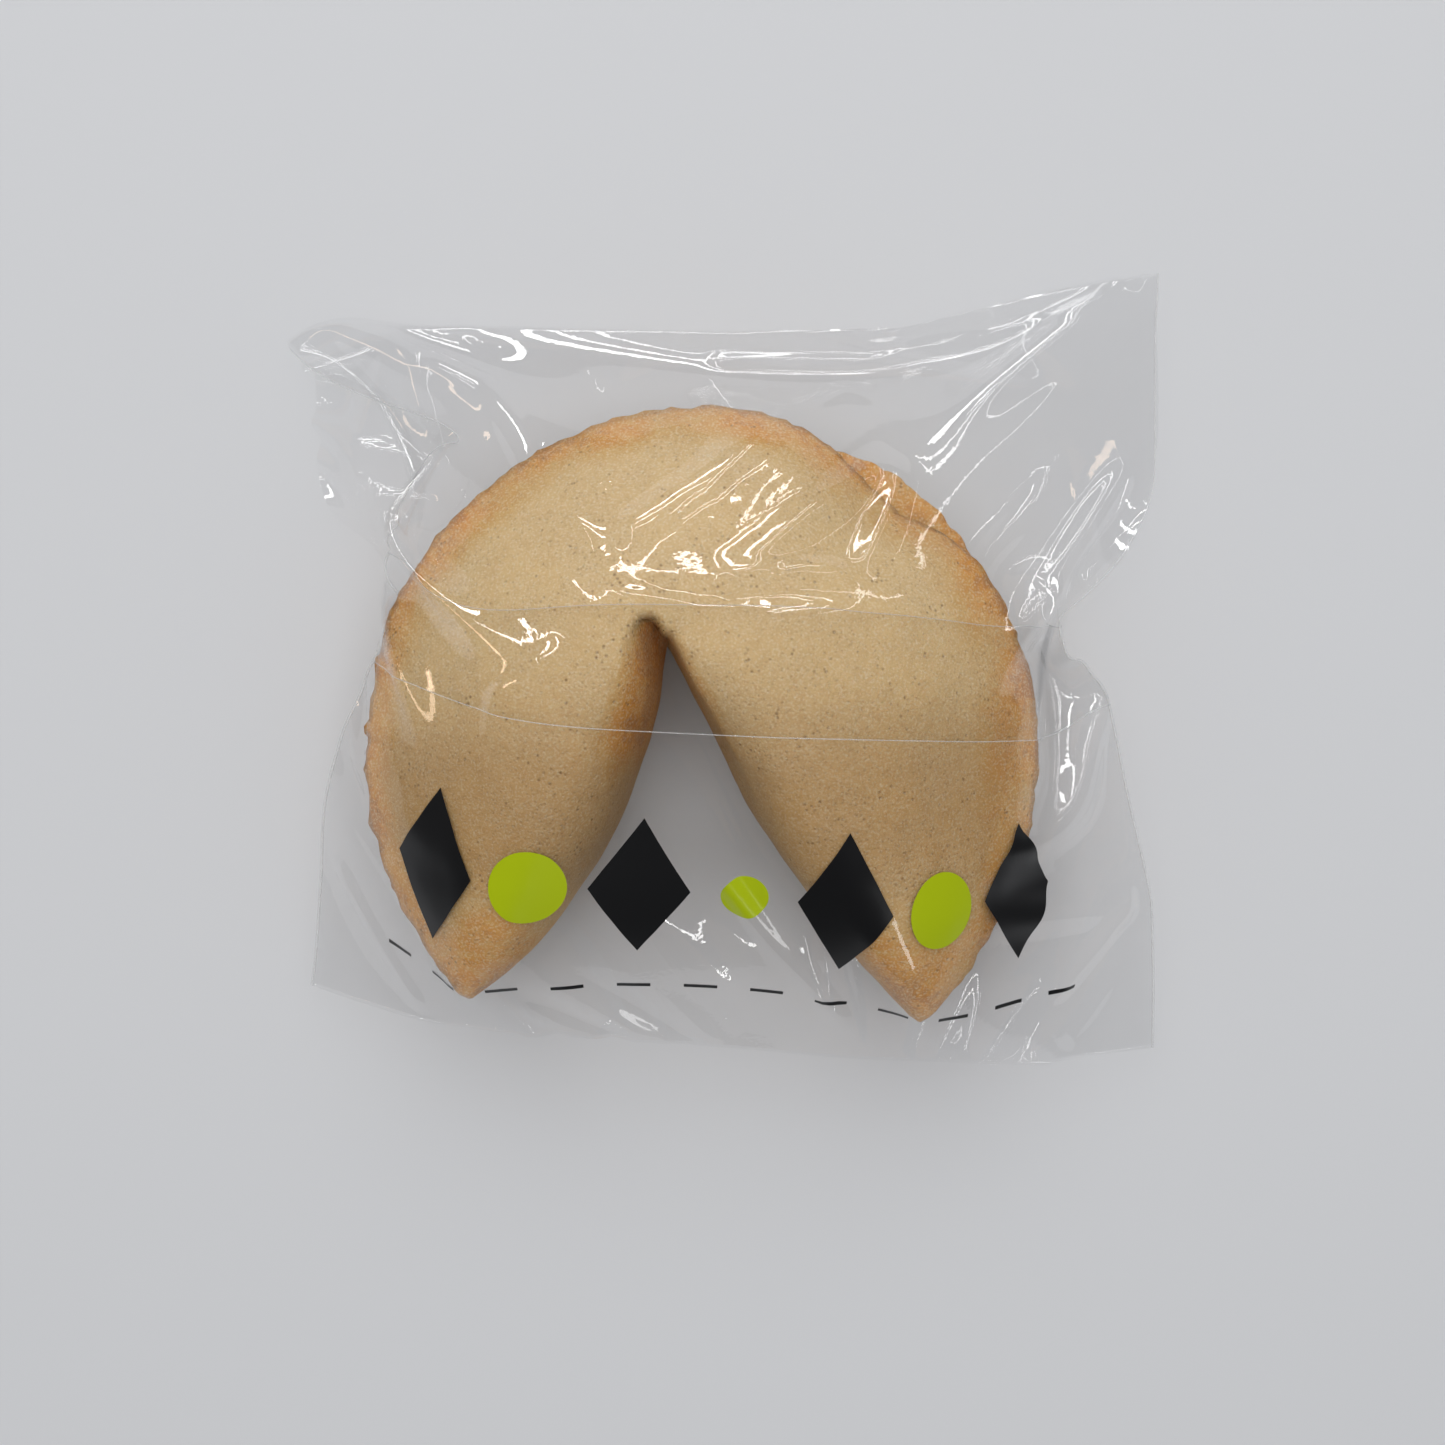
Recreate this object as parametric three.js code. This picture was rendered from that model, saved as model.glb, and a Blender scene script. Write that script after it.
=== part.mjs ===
// A fortune cookie sealed in a clear film bag, lying flat, in millimetres with +Z up.
// The bag is one solid out to the film's outer face. In every upright section through the
// cookie's centre the film lies on the cookie as far as it can, then runs straight and taut
// to the bag's edge, where the two panels meet in a thin fin.
import * as THREE from 'three';

// The cookie inside: a horseshoe whose rim is nearly a circle seen from above, cut off by the
// line through its two tips.
const COOKIE_CENTRE = new THREE.Vector2(-1.75, -8.05);
const RIM_RADIUS = 33.9;
const TIP_LINE = 27; // from the rim circle's centre to the line through the tips
const BELLY_RADIUS = 17; // how far out the cookie is thickest
const TIP_BELLY_RADIUS = 7; // the same towards the two tips, which are drawn out thin
const TIP_SPREAD = 0.75; // half angle over which the tips count, in radians

// The bag: its height over the cookie, and the fin where its two panels meet. The origin is on
// the table, under the middle of the bag's box.
const BAG_HEIGHT = 31.6;
const FIN_THICKNESS = 0.8;

// The bag's corners, with the height of the fin's middle there.
const LEFT_EAR = new THREE.Vector3(-46.05, 33.8, 6);
const RIGHT_EAR = new THREE.Vector3(46.05, 42, 6);
const RIGHT_FOOT = new THREE.Vector3(45.95, -40.4, 6);
const LEFT_FOOT = new THREE.Vector3(-43.35, -33.5, 5);

// Each side runs from one corner to the next. The cookie draws it in at a waist, or pushes it
// out where pull is negative, and lifts its fin off the table by lift.
const SIDES = [
  { from: LEFT_EAR, to: LEFT_FOOT, pull: 11.6, waist: 0.39, before: 0.15, after: 0.22, lift: 8 },
  { from: LEFT_FOOT, to: RIGHT_FOOT, pull: -3.6, waist: 0.5, before: 0.7, after: 0.7, lift: 6 },
  { from: RIGHT_FOOT, to: RIGHT_EAR, pull: 4.5, waist: 0.38, before: 0.17, after: 0.22, lift: 4.5 },
  { from: RIGHT_EAR, to: LEFT_EAR, pull: 4.6, waist: 0.4, before: 0.28, after: 0.3, lift: 5 },
];

const STEPS_PER_SIDE = 25;
const TOP_RINGS = 17;
const UNDERSIDE_RINGS = 9;

// One point of the bag's edge: t runs from 0 at the side's first corner to 1 at the next.
function edgePoint(side, t) {
  const point = new THREE.Vector3().lerpVectors(side.from, side.to, t);
  const inward = new THREE.Vector3()
    .subVectors(side.to, side.from)
    .setZ(0)
    .normalize()
    .applyAxisAngle(new THREE.Vector3(0, 0, 1), Math.PI / 2);
  const width = t < side.waist ? side.before : side.after;
  const cornersHeld = 1 - Math.pow(Math.abs(2 * t - 1), 8);
  const bump = Math.exp(-Math.pow((t - side.waist) / width, 2)) * cornersHeld;
  point.addScaledVector(inward, side.pull * bump);
  point.z += side.lift * Math.sin(Math.PI * t);
  return point;
}

// Steps are closer together near the corners, where the outline turns.
function edgeRing() {
  return SIDES.flatMap((side) =>
    Array.from({ length: STEPS_PER_SIDE }, (_, step) => {
      const even = step / STEPS_PER_SIDE;
      return edgePoint(side, even - Math.sin(2 * Math.PI * even) / 14);
    })
  );
}

// The cookie's section towards an edge point: half an ellipse beyond the belly.
function cookieSection(direction) {
  const turned = Math.abs(direction + Math.PI / 2);
  const offTips = Math.min(turned, 2 * Math.PI - turned);
  const towardsTips = Math.exp(-Math.pow(offTips / TIP_SPREAD, 2));
  const belly = THREE.MathUtils.lerp(BELLY_RADIUS, TIP_BELLY_RADIUS, towardsTips);
  const rim = Math.min(RIM_RADIUS, TIP_LINE / Math.max(Math.cos(offTips), 0.5));
  return { belly, reach: rim - belly, middle: BAG_HEIGHT / 2, halfHeight: BAG_HEIGHT / 2 };
}

// Height of the film at a radius: level over the belly, on the cookie, then straight to the edge.
// face is 1 for the upper film and -1 for the film underneath.
function filmHeight(section, radius, edgeRadius, edgeHeight, face) {
  const { belly, reach, middle, halfHeight } = section;
  if (radius <= belly) return middle + face * halfHeight;
  const across = (edgeRadius - belly) / reach;
  const up = (edgeHeight - middle) / halfHeight;
  const turn = Math.atan2(up, across) + face * Math.acos(1 / Math.hypot(across, up));
  const leavingRadius = belly + reach * Math.cos(turn);
  const leavingHeight = middle + halfHeight * Math.sin(turn);
  if (radius < leavingRadius) {
    const outward = (radius - belly) / reach;
    return middle + face * halfHeight * Math.sqrt(1 - outward * outward);
  }
  const along = (radius - leavingRadius) / (edgeRadius - leavingRadius);
  return THREE.MathUtils.lerp(leavingHeight, edgeHeight, along);
}

function bagGeometry() {
  const edge = edgeRing();
  const positions = [];
  const faces = [];
  const addRing = (fraction, face) => {
    const first = positions.length / 3;
    for (const point of edge) {
      const x = point.x - COOKIE_CENTRE.x;
      const y = point.y - COOKIE_CENTRE.y;
      const edgeRadius = Math.hypot(x, y);
      const edgeHeight = point.z + (face * FIN_THICKNESS) / 2;
      const section = cookieSection(Math.atan2(y, x));
      const height = filmHeight(section, fraction * edgeRadius, edgeRadius, edgeHeight, face);
      positions.push(COOKIE_CENTRE.x + fraction * x, COOKIE_CENTRE.y + fraction * y, height);
    }
    return first;
  };
  const addPole = (height) => {
    positions.push(COOKIE_CENTRE.x, COOKIE_CENTRE.y, height);
    return positions.length / 3 - 1;
  };
  const next = (step) => (step + 1) % edge.length;
  const closePole = (pole, ring, upward) => {
    edge.forEach((_, step) => {
      const pair = [ring + step, ring + next(step)];
      faces.push(pole, ...(upward ? pair : pair.reverse()));
    });
  };
  const joinRings = (inner, outer) => {
    edge.forEach((_, step) => {
      faces.push(inner + step, outer + step, outer + next(step));
      faces.push(inner + step, outer + next(step), inner + next(step));
    });
  };

  const topPole = addPole(BAG_HEIGHT);
  let ring = addRing(1 / TOP_RINGS, 1);
  closePole(topPole, ring, true);
  for (let step = 2; step <= TOP_RINGS; step += 1) {
    const outer = addRing(step / TOP_RINGS, 1);
    joinRings(ring, outer);
    ring = outer;
  }
  for (let step = UNDERSIDE_RINGS; step >= 1; step -= 1) {
    const inner = addRing(step / UNDERSIDE_RINGS, -1);
    joinRings(ring, inner);
    ring = inner;
  }
  closePole(addPole(0), ring, false);

  const geometry = new THREE.BufferGeometry();
  geometry.setAttribute('position', new THREE.Float32BufferAttribute(positions, 3));
  geometry.setIndex(faces);
  geometry.computeVertexNormals();
  return geometry;
}

const film = new THREE.MeshStandardMaterial({
  color: 0xdfe2e4,
  roughness: 0.08,
  metalness: 0,
  transparent: true,
  opacity: 0.35,
});

const group = new THREE.Group();
const bag = new THREE.Mesh(bagGeometry(), film);
bag.name = 'sealed_bag';
group.add(bag);

export default group;
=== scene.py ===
import math

import bpy
import numpy as np
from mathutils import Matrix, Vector, noise
from mathutils.bvhtree import BVHTree


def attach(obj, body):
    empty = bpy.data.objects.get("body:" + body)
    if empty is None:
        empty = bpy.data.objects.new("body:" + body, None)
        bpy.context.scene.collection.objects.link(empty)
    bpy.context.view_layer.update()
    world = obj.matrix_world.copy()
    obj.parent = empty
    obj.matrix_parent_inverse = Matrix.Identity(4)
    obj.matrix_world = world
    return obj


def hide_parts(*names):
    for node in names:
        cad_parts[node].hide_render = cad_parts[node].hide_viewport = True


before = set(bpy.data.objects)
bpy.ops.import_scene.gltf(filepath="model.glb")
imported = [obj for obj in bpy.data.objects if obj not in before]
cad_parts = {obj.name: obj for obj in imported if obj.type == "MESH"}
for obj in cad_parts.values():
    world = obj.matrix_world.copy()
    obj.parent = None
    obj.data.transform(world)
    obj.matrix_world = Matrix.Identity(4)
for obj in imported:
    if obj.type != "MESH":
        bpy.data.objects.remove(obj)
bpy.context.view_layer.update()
scene = bpy.context.scene
MM = 0.001

# ---------------------------------------------------------------------------
# Camera and studio. The bag lies on a plain pale table and is seen from straight above, in
# soft light from overhead and from the far side.
scene.view_settings.view_transform = "Standard"

CAMERA_HEIGHT = 240 * MM
FRAME_HALF_WIDTH = 77.4 * MM
FRAME_CENTRE = (0.35 * MM, -5.8 * MM)
camera = bpy.data.cameras.new("camera")
camera.sensor_width = 36.0
camera.lens = camera.sensor_width / 2 * CAMERA_HEIGHT / FRAME_HALF_WIDTH
camera.clip_start = 10 * MM
viewpoint = bpy.data.objects.new("camera", camera)
scene.collection.objects.link(viewpoint)
viewpoint.location = (*FRAME_CENTRE, CAMERA_HEIGHT)
scene.camera = viewpoint

TABLE_WIDTH = 1600 * MM
TABLE_GAP = 0.2 * MM  # keeps the table clear of the bag's lowest face
bpy.ops.object.select_all(action="DESELECT")
bpy.ops.mesh.primitive_plane_add(size=TABLE_WIDTH, location=(0, 0, -TABLE_GAP))
floor = bpy.context.object
floor.name = "table"
table_finish = bpy.data.materials.new("table")
table_finish.use_nodes = True
table_shader = table_finish.node_tree.nodes["Principled BSDF"]
table_shader.inputs["Base Color"].default_value = (0.66, 0.665, 0.68, 1)
table_shader.inputs["Roughness"].default_value = 0.9
floor.data.materials.append(table_finish)

world = bpy.data.worlds.new("room")
scene.world = world
world.use_nodes = True
room_light = world.node_tree.nodes["Background"]
room_light.inputs["Color"].default_value = (0.95, 0.97, 1.0, 1)
room_light.inputs["Strength"].default_value = 0.33
world.cycles_visibility.glossy = False


def softbox(name, place, aim, width, height, watts, colour=(1, 1, 1)):
    """A rectangular lamp at place, in millimetres, turned to aim."""
    lamp = bpy.data.lights.new(name, "AREA")
    lamp.shape = "RECTANGLE"
    lamp.size = width * MM
    lamp.size_y = height * MM
    lamp.energy = watts
    lamp.color = colour
    holder = bpy.data.objects.new(name, lamp)
    scene.collection.objects.link(holder)
    holder.location = Vector(place) * MM
    ray = Vector(aim) * MM - holder.location
    holder.rotation_euler = ray.to_track_quat("-Z", "Y").to_euler()
    return holder


# Two broad lamps light everything softly.
TABLE_MIDDLE = (0, 0, 0)
ceiling = softbox("ceiling", (0, 40, 700), TABLE_MIDDLE, 520, 420, 2.1)
ceiling.visible_glossy = False
sky = softbox("sky", (-40, 450, 520), TABLE_MIDDLE, 600, 450, 1.5)
sky.visible_glossy = False

# The others only show in the film: a dim sheen from where the sky lamp is, and bars and strips
# that draw bright streaks along the creases.
COOKIE_TOP = (0, 8, 24)
WARM_WHITE = (1.0, 0.76, 0.55)
streaks = [
    softbox("sky_sheen", (-40, 450, 520), TABLE_MIDDLE, 600, 450, 1.2),
    softbox("bar_far_low", (-30, 480, 215), (-30, 8, 24), 300, 40, 0.80),
    softbox("bar_far", (-30, 417, 311), (-30, 8, 24), 300, 22, 0.42),
    softbox("bar_far_high", (-60, 330, 400), (-60, 8, 24), 200, 14, 0.16),
    softbox("strip_far_left", (-203, 298, 378), COOKIE_TOP, 9, 200, 0.10),
    softbox("strip_left", (-418, 120, 274), COOKIE_TOP, 34, 260, 0.22, WARM_WHITE),
    softbox("strip_near", (194, -389, 259), COOKIE_TOP, 44, 240, 0.18),
    softbox("strip_right", (311, 309, 274), COOKIE_TOP, 8, 260, 0.06),
    softbox("slat_right_near", (205.6, 374.4, 296), (21.6, -2.6, 24), 10, 380, 0.17),
    softbox("slat_right_far", (162.4, 395.6, 296), (-21.6, 18.6, 24), 10, 380, 0.17),
]
for streak in streaks:
    streak.visible_diffuse = False

# ---------------------------------------------------------------------------
# The cookie. A round wafer, folded in half while hot and then bent over a rod at the middle
# of the fold, so that its two ends come together as tips. It bakes hard and hollow, with a
# browned, crumbly rim that stays open by a crack. A grid is bent to this shape by formula.
RIM_CENTRE = np.array([-1.75, -8.05])
RIM_RADIUS = 33.3
MIDDLE_HEIGHT = 15.4
WAFER_THICKNESS = 2.0
BELLY_HALF_HEIGHT = 14.0
# The fold runs from the notch to each tip as a Bezier curve, seen from above.
LEFT_FOLD = np.array([(-5.3, 4.0), (-7.7, -8.0), (-11.4, -22.2), (-24.3, -31.8)])
RIGHT_FOLD = np.array([(-5.3, 4.0), (0.5, -5.2), (7.4, -23.0), (19.9, -34.5)])
NOTCH_ROUNDING = 50  # passes of averaging that round off the notch
AT_TIP = 0.999
LEFT_TIP_ANGLE = math.radians(228)
TOP_ANGLE = math.radians(84)
RIGHT_TIP_ANGLE = math.radians(-51.5)
OPEN_ANGLE = math.radians(51)  # where the upper half of the rim lies back from the lower half
UPPER_INSET = 3.0
LOWER_INSET = 0.9
LEFT_TIP_GROWTH = 0.9  # how far the rim leaves its circle towards the tips
RIGHT_TIP_GROWTH = 1.8
CRACK_HALF_HEIGHT = 1.1  # of the crack between the two halves of the rim
COLUMNS = 240
ROWS = 160
COLUMN_CROWDING = 1.4  # above 1, the mesh's columns crowd at the notch
RIM_SWEEP = 0.62  # below 1, the columns fan out from the notch to the rim


def bezier(points, t):
    """Places at shares t of a cubic curve."""
    t = t[:, None]
    return (
        points[0] * (1 - t) ** 3
        + points[1] * 3 * t * (1 - t) ** 2
        + points[2] * 3 * t**2 * (1 - t)
        + points[3] * t**3
    )


def bump(x, middle, width):
    """1 at the middle, falling off smoothly to both sides."""
    return np.exp(-(((x - middle) / width) ** 2))


def ease(x, low, high):
    """0 up to low, 1 from high on, and a smooth step between."""
    t = np.clip((x - low) / (high - low), 0, 1)
    return t * t * (3 - 2 * t)


bpy.ops.object.select_all(action="DESELECT")
bpy.ops.mesh.primitive_grid_add(x_subdivisions=COLUMNS, y_subdivisions=ROWS, size=2)
cookie = bpy.context.object
cookie.name = "cookie"
grid = np.zeros(len(cookie.data.vertices) * 3)
cookie.data.vertices.foreach_get("co", grid)
grid = grid.reshape(-1, 3)
# Along runs from -1 at the left tip past the notch, 0, to 1 at the right tip. Around runs from
# -1 at the lower rim past the fold, 0, to 1 at the upper rim.
along = np.sign(grid[:, 0]) * np.abs(grid[:, 0]) ** COLUMN_CROWDING
around = grid[:, 1]
reach = np.abs(along)
side = np.sign(around)
on_left = (along < 0)[:, None]

steps = np.linspace(-1, 1, COLUMNS + 1)
fold_line = np.where(
    (steps < 0)[:, None], bezier(LEFT_FOLD, np.abs(steps)), bezier(RIGHT_FOLD, np.abs(steps))
)
for _ in range(NOTCH_ROUNDING):
    fold_line[1:-1] = (fold_line[:-2] + 2 * fold_line[1:-1] + fold_line[2:]) / 4
direction = np.gradient(fold_line, axis=0)
direction /= np.linalg.norm(direction, axis=1)[:, None]
across_fold = np.stack([-direction[:, 1], direction[:, 0]], 1)
fold = np.stack([np.interp(along, steps, fold_line[:, axis]) for axis in (0, 1)], 1)
away = np.stack([np.interp(along, steps, across_fold[:, axis]) for axis in (0, 1)], 1)
sweep = reach**RIM_SWEEP
tip_angle = np.where(along < 0, LEFT_TIP_ANGLE, RIGHT_TIP_ANGLE)
rim_angle = TOP_ANGLE + (tip_angle - TOP_ANGLE) * sweep
left_growth = LEFT_TIP_GROWTH * ease(sweep, 0.65, 1)
right_growth = RIGHT_TIP_GROWTH * ease(sweep, 0.6, 1)
rim_growth = np.where(along < 0, left_growth, right_growth)
upper_inset = UPPER_INSET * bump(rim_angle, OPEN_ANGLE, math.radians(13))
lower_inset = LOWER_INSET * (1 - bump(rim_angle, OPEN_ANGLE, math.radians(22)))
rim_radius = RIM_RADIUS + rim_growth - np.where(side > 0, upper_inset, lower_inset)
rim = RIM_CENTRE + rim_radius[:, None] * np.stack([np.cos(rim_angle), np.sin(rim_angle)], 1)
tip = np.where(on_left, LEFT_FOLD[3], RIGHT_FOLD[3])
rim = np.where((reach > AT_TIP)[:, None], tip, rim)

# From the fold to the rim each half rises to a crest and falls again to the crack. The wall
# beside the fold is round on the left lobe and steep on the right lobe.
outward = np.abs(around) ** 1.8
width = np.linalg.norm(rim - fold, axis=1)
pull = np.minimum(0.3 * width, 9)[:, None] * away
share = outward[:, None]
plan = (1 - share) ** 2 * fold + 2 * share * (1 - share) * (fold + pull) + share**2 * rim
to_rim = np.linalg.norm(rim - plan, axis=1)
on_lobe = ease(reach, 0.02, 0.35)
crest_distance = np.where(along < 0, 4.4 + 3.2 * on_lobe, 1.9 + 5.6 * on_lobe)
crest_distance = np.where(along < 0, crest_distance - 2.5 * bump(along, 0, 0.03), crest_distance)
crest = np.clip(crest_distance / np.maximum(width, 1), 0.03, 0.36)
roundness = 1.12 + 1.3 * on_lobe
steepness = np.where(along < 0, 1.9 - 0.2 * on_lobe, 1.9 + 1.3 * on_lobe)
# The lobes thin out to the tips, and dip a little at the notch. The crack gapes most at the
# upper left.
belly = BELLY_HALF_HEIGHT * np.clip(1 - reach**2.7, 0, 1) ** 0.6
belly = belly * (1 - 0.07 * bump(reach, 0, 0.16))
crack = CRACK_HALF_HEIGHT + 1.5 * bump(along, -0.15, 0.3)
crack = np.minimum(crack, belly * 0.5)
rise = np.clip(1 - np.clip(1 - outward / crest, 0, 1) ** roundness, 0, 1) ** (1 / steepness)
fall = np.clip((outward - crest) / (1 - crest), 0, 1) ** (2.0 + 0.5 * (1 - on_lobe))
# Around the notch the left lobe's wall slopes up under a sharp lip, which the right lobe's
# edge carries on.
LIP_NEAREST = 0.3
LIP_REACH = 3.8
WALL_REACH = 3.5
LIP_SHARPNESS = 0.3
offset = plan - fold
from_fold = np.linalg.norm(offset, axis=1)
leftward = np.where(from_fold > 0.05, -offset[:, 0] / np.maximum(from_fold, 0.05), -away[:, 0])
leftward = np.clip(leftward, 0, 1)
lip_distance = LIP_NEAREST + LIP_REACH * leftward**1.6
slope = np.clip(1 - from_fold * leftward / WALL_REACH, 0, 1)
slope = np.clip(1 - slope**1.2, 0, 1) ** 0.55
at_lip = ease(from_fold, lip_distance - LIP_SHARPNESS, lip_distance + LIP_SHARPNESS)
lip_rise = np.maximum(slope, at_lip)
near_notch = 1 - ease(reach, 0.05, np.where(along < 0, 0.2, 0.5))
near_notch *= side > 0
rise = rise * (1 - near_notch) + lip_rise * near_notch
height = belly * rise * (1 - fall) + crack * fall
# Where the upper rim lies back, the lower half comes up to meet it.
meeting = bump(rim_angle, OPEN_ANGLE, math.radians(17)) * ease(to_rim, 7, 3) * (side < 0)
lift = side * height * (1 - meeting) - 0.4 * meeting
points = np.column_stack([plan, MIDDLE_HEIGHT + lift])

# The batter bakes a little uneven: slow swells and fine dents all over, a ragged and crumbly
# rim, most of all at the left, and a rough lip at the notch.
SLOW_SWELL = 0.55
FINE_DENT = 0.12
LIP_ROUGHNESS = 0.22
CRUMBLY_ANGLE = math.radians(190)
noise.seed_set(4)
crumbly = ease(np.degrees(np.abs(rim_angle - CRUMBLY_ANGLE)), 75, 20)
for index, point in enumerate(points):
    place = Vector(point)
    slow = noise.noise_vector(place * 0.09)
    fine = noise.noise_vector(place * 0.35)
    edge_wave = outward[index] ** 9
    ragged = noise.noise_vector(place * 0.6) * (0.34 + 0.14 * crumbly[index]) * edge_wave
    crumbs = noise.noise_vector(place * 1.1) * (0.14 + 0.1 * crumbly[index]) * edge_wave**2
    lip = noise.noise_vector(place * 1.1) * LIP_ROUGHNESS * math.exp(-((reach[index] / 0.07) ** 2))
    point += SLOW_SWELL * np.array(slow) + FINE_DENT * np.array(fine) + np.array(ragged)
    point += np.array(crumbs) + np.array(lip) * math.exp(-((outward[index] / 0.12) ** 2))
points[:, 2] = np.where(reach > AT_TIP, MIDDLE_HEIGHT, points[:, 2])
cookie.data.vertices.foreach_set("co", (points * MM).ravel())

# Browning is strongest along the rim, over both tips and on the wall in the notch, and patchy.
# On the notch wall it is darker still, as painted shade in the recess under the lip.
NOTCH = (-4.5, 5.0)
PITTED_RADIUS = 8.0
TOAST_AND_SHADE_CAP = 1.2
RIM_TOAST = 0.78
EDGE_TOAST = 0.15
TIP_TOAST = 0.85
PALE_TOAST = 0.14
band = 4.3 + 2.4 * bump(along, 0.45, 0.25) + 3.0 * ease(reach, 0.75, 1)
rim_browning = RIM_TOAST * np.exp(-((to_rim / band) ** 2.4)) + EDGE_TOAST * np.exp(-to_rim / 0.8)
tip_browning = TIP_TOAST * ease(reach, 0.62, 0.95)
# Browning on the notch wall, made darker as painted shade in the recess.
wall_toast_and_shade = 0.5 + 0.9 * leftward * (1 - 0.5 * on_lobe)
wall_toast_and_shade *= np.exp(-((from_fold / (0.8 + 2.3 * leftward + 1.0 * on_lobe)) ** 4))
wall_toast_and_shade *= 1 - ease(reach, 0.2, 0.6)
lobe_browning = PALE_TOAST + 0.20 * ease(-points[:, 1], -4, 22)
patches = np.array([noise.noise(Vector(point) * 0.22) for point in points])
toast_and_wall_shade = np.maximum.reduce([rim_browning, tip_browning, wall_toast_and_shade]) * (1 + 0.5 * patches)
toast_and_wall_shade = np.maximum(toast_and_wall_shade, lobe_browning)
toast_and_shade = cookie.data.attributes.new("toast_and_shade", "FLOAT", "POINT")
toast_and_shade.data.foreach_set("value", np.clip(toast_and_wall_shade, 0, TOAST_AND_SHADE_CAP))
# Painted shade: the near halves of the lobes, which slope away from the light, are darkened,
# though not along the rim.
nearness = -points[:, 1]
painted_lobe_shade = ease(nearness, 0, 11) * (1 - 0.9 * ease(nearness, 17, 27)) * ease(to_rim, 1, 5)
lobe_shade_layer = cookie.data.attributes.new("lobes", "FLOAT", "POINT")
lobe_shade_layer.data.foreach_set("value", painted_lobe_shade)
notch_distance = np.linalg.norm(points[:, :2] - NOTCH, axis=1)
pitted = cookie.data.attributes.new("pitted", "FLOAT", "POINT")
pitted.data.foreach_set("value", bump(notch_distance, 0, PITTED_RADIUS))

# The wafer's wall is thinner towards the rim and at the notch.
thickness = cookie.vertex_groups.new(name="thickness")
thinned = (1 - 0.72 * outward**16) * (1 - 0.35 * bump(reach, 0, 0.12))
for index, value in enumerate(thinned):
    thickness.add([index], float(value), "REPLACE")

MERGE_DISTANCE = 0.02 * MM
bpy.ops.object.mode_set(mode="EDIT")
bpy.ops.mesh.select_all(action="SELECT")
bpy.ops.mesh.remove_doubles(threshold=MERGE_DISTANCE)
bpy.ops.mesh.normals_make_consistent(inside=False)
bpy.ops.object.mode_set(mode="OBJECT")
wall = cookie.modifiers.new("wafer", "SOLIDIFY")
wall.thickness = WAFER_THICKNESS * MM
wall.offset = 0
wall.vertex_group = "thickness"
bpy.ops.object.modifier_apply(modifier="wafer")
bpy.ops.object.shade_smooth()

# Baked batter: pale and floury, mottled, with fine pits and a few dark specks. Painted shade
# darkens the near halves of the lobes. The helpers below add their nodes to the material at hand.
baked = bpy.data.materials.new("baked_wafer")
baked.use_nodes = True
nodes, links = baked.node_tree.nodes, baked.node_tree.links
shader = nodes["Principled BSDF"]
shader.inputs["Roughness"].default_value = 0.62
shader.inputs["Specular IOR Level"].default_value = 0.35
shader.inputs["Subsurface Weight"].default_value = 0.15
shader.inputs["Subsurface Radius"].default_value = (0.0022, 0.0012, 0.0006)
shader.inputs["Subsurface Scale"].default_value = 1.0
coordinates = nodes.new("ShaderNodeTexCoord")


def texture(scale, detail, roughness=0.55):
    """Noise that is fixed to the piece."""
    made = nodes.new("ShaderNodeTexNoise")
    made.inputs["Scale"].default_value = scale
    made.inputs["Detail"].default_value = detail
    made.inputs["Roughness"].default_value = roughness
    links.new(coordinates.outputs["Object"], made.inputs["Vector"])
    return made.outputs["Fac"]


def remap(value, low, high, to_low, to_high):
    """Stretches low to high into to_low to to_high, and clips what lies outside."""
    made = nodes.new("ShaderNodeMapRange")
    made.inputs["From Min"].default_value = low
    made.inputs["From Max"].default_value = high
    made.inputs["To Min"].default_value = to_low
    made.inputs["To Max"].default_value = to_high
    links.new(value, made.inputs["Value"])
    return made.outputs["Result"]


def combine(operation, first, second):
    """A sum or product, say, of two outputs or numbers."""
    made = nodes.new("ShaderNodeMath")
    made.operation = operation
    for socket, value in zip(made.inputs, (first, second)):
        if isinstance(value, (int, float)):
            socket.default_value = value
        else:
            links.new(value, socket)
    return made.outputs["Value"]


def tint(factor, base, colour, mode="MIX"):
    """Lays a colour over a base where the factor says."""
    made = nodes.new("ShaderNodeMix")
    made.data_type = "RGBA"
    made.blend_type = mode
    links.new(factor, made.inputs["Factor"])
    for socket, value in ((made.inputs["A"], base), (made.inputs["B"], colour)):
        if isinstance(value, tuple):
            socket.default_value = value
        else:
            links.new(value, socket)
    return made.outputs["Result"]


RAW = (0.700, 0.520, 0.280, 1)
WARM = (0.640, 0.390, 0.140, 1)
GOLDEN = (0.665, 0.292, 0.052, 1)
BROWNED_AND_WALL_SHADE = (0.530, 0.205, 0.036, 1)
DRY_PATCH = (0.60, 0.44, 0.25, 1)
MOTTLED = (0.52, 0.36, 0.19, 1)
SPECK = (0.19, 0.10, 0.04, 1)
PORE = (0.36, 0.23, 0.11, 1)
FLOUR = (0.80, 0.68, 0.47, 1)
LOBE_SHADE_TINT = (0.72, 0.67, 0.63, 1)
# The toast value carries the browning and, on the notch wall, painted shade; the ramp's darkest
# colour serves both.
toast_and_shade_value = nodes.new("ShaderNodeAttribute")
toast_and_shade_value.attribute_name = "toast_and_shade"
mottle = texture(900, 3)
patchy = texture(170, 3)
uneven = combine("MULTIPLY", remap(mottle, 0.3, 0.7, 0.72, 1.28), toast_and_shade_value.outputs["Fac"])
ramp = nodes.new("ShaderNodeValToRGB")
ramp.color_ramp.elements[0].color = RAW
ramp.color_ramp.elements[1].color = BROWNED_AND_WALL_SHADE
warm = ramp.color_ramp.elements.new(0.4)
warm.color = WARM
golden = ramp.color_ramp.elements.new(0.8)
golden.color = GOLDEN
links.new(uneven, ramp.inputs["Fac"])
colour = tint(remap(patchy, 0.35, 0.7, 0.0, 0.35), ramp.outputs["Color"], DRY_PATCH)
colour = tint(remap(mottle, 0.45, 0.75, 0.0, 0.30), colour, MOTTLED)

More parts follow.
